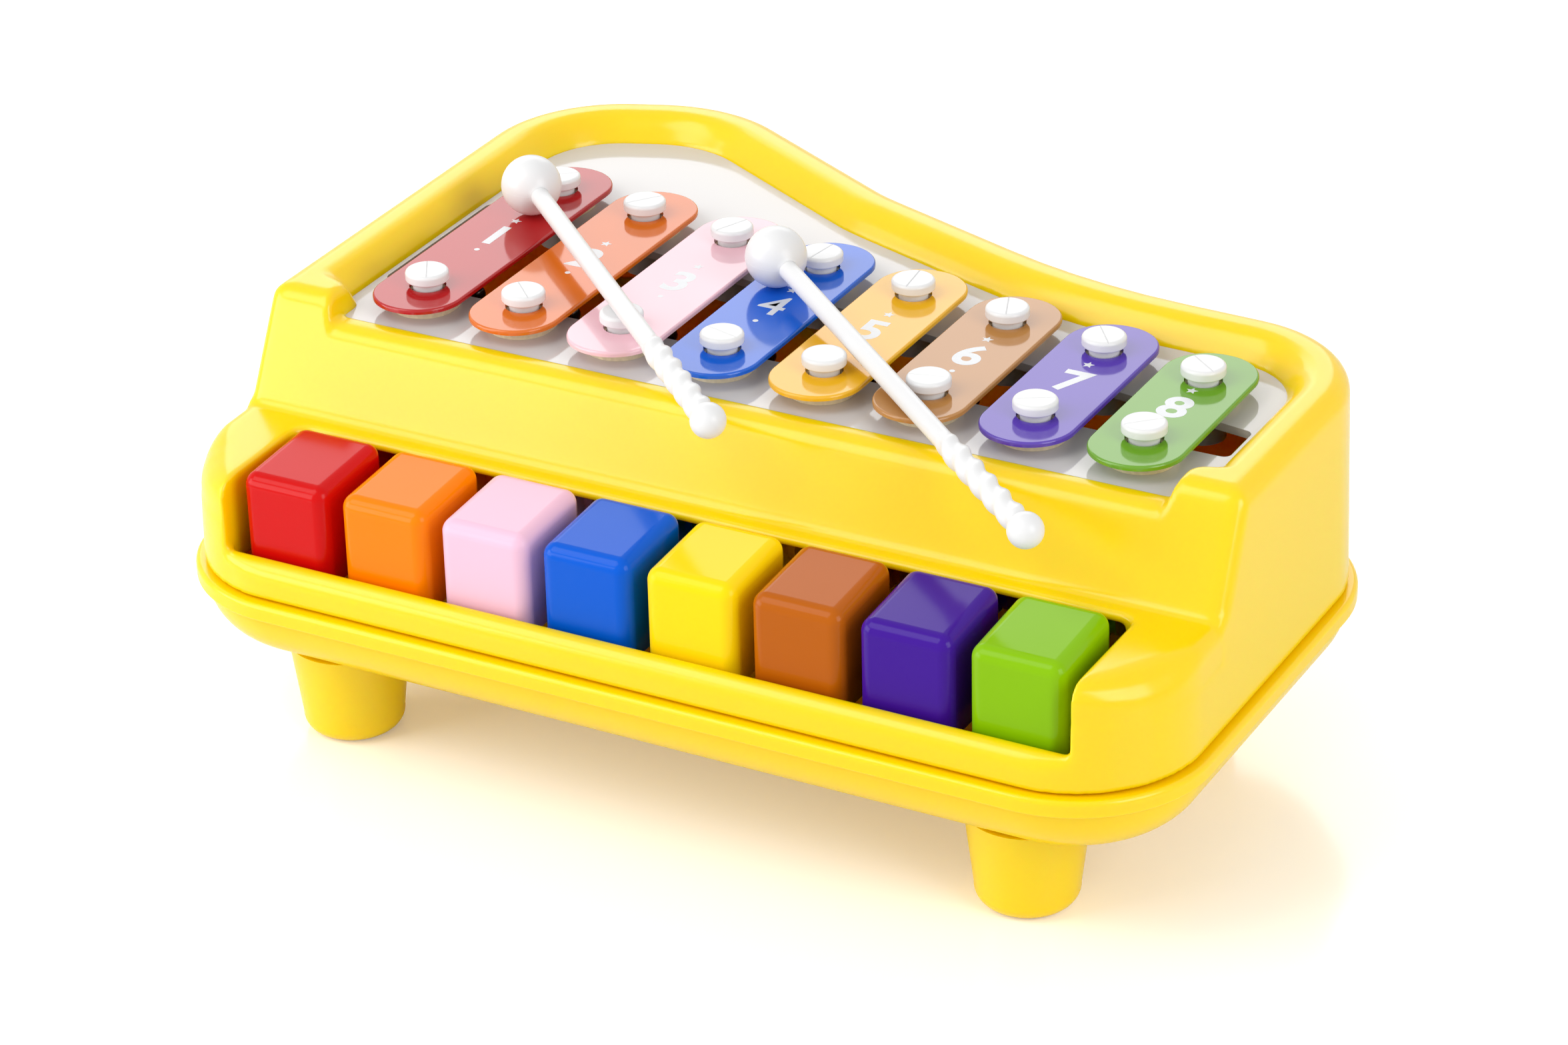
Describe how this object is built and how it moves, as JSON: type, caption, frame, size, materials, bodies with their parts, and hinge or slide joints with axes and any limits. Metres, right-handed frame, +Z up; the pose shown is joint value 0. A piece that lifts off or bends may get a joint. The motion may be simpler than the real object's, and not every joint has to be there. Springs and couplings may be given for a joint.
{
  "type": "toy xylophone",
  "caption": "Toy xylophone shaped like a grand piano: cube keys swing small hammers up against coloured metal bars; two mallets lie on top.",
  "frame": {"origin": "bottom centre of the whole toy, on the surface that its feet stand on", "axes": "+X along the row of notes from the longest bar to the shortest, +Y from the player to the rear, +Z up"},
  "size_m": [0.2616, 0.2026, 0.109],
  "materials": {
    "housing_plastic": "gloss",
    "bed_plastic": "satin",
    "white_plastic": "satin",
    "felt": "matte",
    "bright_steel": "satin",
    "dark_steel": "satin",
    "key_colour_1": "gloss",
    "key_colour_2": "gloss",
    "key_colour_3": "gloss",
    "key_colour_4": "gloss",
    "key_colour_5": "gloss",
    "key_colour_6": "gloss",
    "key_colour_7": "gloss",
    "key_colour_8": "gloss",
    "bar_colour_1": "gloss",
    "bar_colour_2": "gloss",
    "bar_colour_3": "gloss",
    "bar_colour_4": "gloss",
    "bar_colour_5": "gloss",
    "bar_colour_6": "gloss",
    "bar_colour_7": "gloss",
    "bar_colour_8": "gloss"
  },
  "bodies": {
    "body": {"upper_housing": "housing_plastic", "base_pan": "housing_plastic", "foot_front_left": "housing_plastic", "foot_front_right": "housing_plastic", "foot_rear_left": "housing_plastic", "foot_rear_right": "housing_plastic", "bar_bed": "bed_plastic", "key_axle": "bright_steel", "key_stop_felt": "felt", "hammer_rest_felt": "felt", "bar_1": "bar_colour_1", "bar_2": "bar_colour_2", "bar_3": "bar_colour_3", "bar_4": "bar_colour_4", "bar_5": "bar_colour_5", "bar_6": "bar_colour_6", "bar_7": "bar_colour_7", "bar_8": "bar_colour_8", "peg_front_1": "white_plastic", "peg_front_2": "white_plastic", "peg_front_3": "white_plastic", "peg_front_4": "white_plastic", "peg_front_5": "white_plastic", "peg_front_6": "white_plastic", "peg_front_7": "white_plastic", "peg_front_8": "white_plastic", "peg_rear_1": "white_plastic", "peg_rear_2": "white_plastic", "peg_rear_3": "white_plastic", "peg_rear_4": "white_plastic", "peg_rear_5": "white_plastic", "peg_rear_6": "white_plastic", "peg_rear_7": "white_plastic", "peg_rear_8": "white_plastic", "case_screw_1": "bright_steel", "case_screw_2": "bright_steel", "case_screw_3": "bright_steel", "case_screw_4": "bright_steel"},
    "key_1": {"key_1": "key_colour_1", "hammer_tip_1": "dark_steel"},
    "key_2": {"key_2": "key_colour_2", "hammer_tip_2": "dark_steel"},
    "key_3": {"key_3": "key_colour_3", "hammer_tip_3": "dark_steel"},
    "key_4": {"key_4": "key_colour_4", "hammer_tip_4": "dark_steel"},
    "key_5": {"key_5": "key_colour_5", "hammer_tip_5": "dark_steel"},
    "key_6": {"key_6": "key_colour_6", "hammer_tip_6": "dark_steel"},
    "key_7": {"key_7": "key_colour_7", "hammer_tip_7": "dark_steel"},
    "key_8": {"key_8": "key_colour_8", "hammer_tip_8": "dark_steel"},
    "mallet_1": {"mallet_head_1": "white_plastic", "mallet_stick_1": "white_plastic"},
    "mallet_2": {"mallet_head_2": "white_plastic", "mallet_stick_2": "white_plastic"}
  },
  "joints": [
    {"name": "key_1_press", "type": "hinge", "parent": "body", "child": "key_1", "pos_m": [-0.0945, -0.04671, 0.06], "axis": [1, 0, 0], "range_deg": [0, 10.85], "stiffness_Nm_per_rad": 0.1, "springref_deg": -8.59},
    {"name": "key_2_press", "type": "hinge", "parent": "body", "child": "key_2", "pos_m": [-0.0675, -0.04671, 0.06], "axis": [1, 0, 0], "range_deg": [0, 10.85], "stiffness_Nm_per_rad": 0.1, "springref_deg": -8.59},
    {"name": "key_3_press", "type": "hinge", "parent": "body", "child": "key_3", "pos_m": [-0.0405, -0.04671, 0.06], "axis": [1, 0, 0], "range_deg": [0, 10.85], "stiffness_Nm_per_rad": 0.1, "springref_deg": -8.59},
    {"name": "key_4_press", "type": "hinge", "parent": "body", "child": "key_4", "pos_m": [-0.0135, -0.04671, 0.06], "axis": [1, 0, 0], "range_deg": [0, 10.85], "stiffness_Nm_per_rad": 0.1, "springref_deg": -8.59},
    {"name": "key_5_press", "type": "hinge", "parent": "body", "child": "key_5", "pos_m": [0.0135, -0.04671, 0.06], "axis": [1, 0, 0], "range_deg": [0, 10.85], "stiffness_Nm_per_rad": 0.1, "springref_deg": -8.59},
    {"name": "key_6_press", "type": "hinge", "parent": "body", "child": "key_6", "pos_m": [0.0405, -0.04671, 0.06], "axis": [1, 0, 0], "range_deg": [0, 10.85], "stiffness_Nm_per_rad": 0.1, "springref_deg": -8.59},
    {"name": "key_7_press", "type": "hinge", "parent": "body", "child": "key_7", "pos_m": [0.0675, -0.04671, 0.06], "axis": [1, 0, 0], "range_deg": [0, 10.85], "stiffness_Nm_per_rad": 0.1, "springref_deg": -8.59},
    {"name": "key_8_press", "type": "hinge", "parent": "body", "child": "key_8", "pos_m": [0.0945, -0.04671, 0.06], "axis": [1, 0, 0], "range_deg": [0, 10.85], "stiffness_Nm_per_rad": 0.1, "springref_deg": -8.59},
    {"name": "mallet_1_lift", "type": "slide", "parent": "body", "child": "mallet_1", "axis": [0, 0, 1], "range_m": [0, 0.12]},
    {"name": "mallet_2_lift", "type": "slide", "parent": "body", "child": "mallet_2", "axis": [0, 0, 1], "range_m": [0, 0.12]}
  ]
}
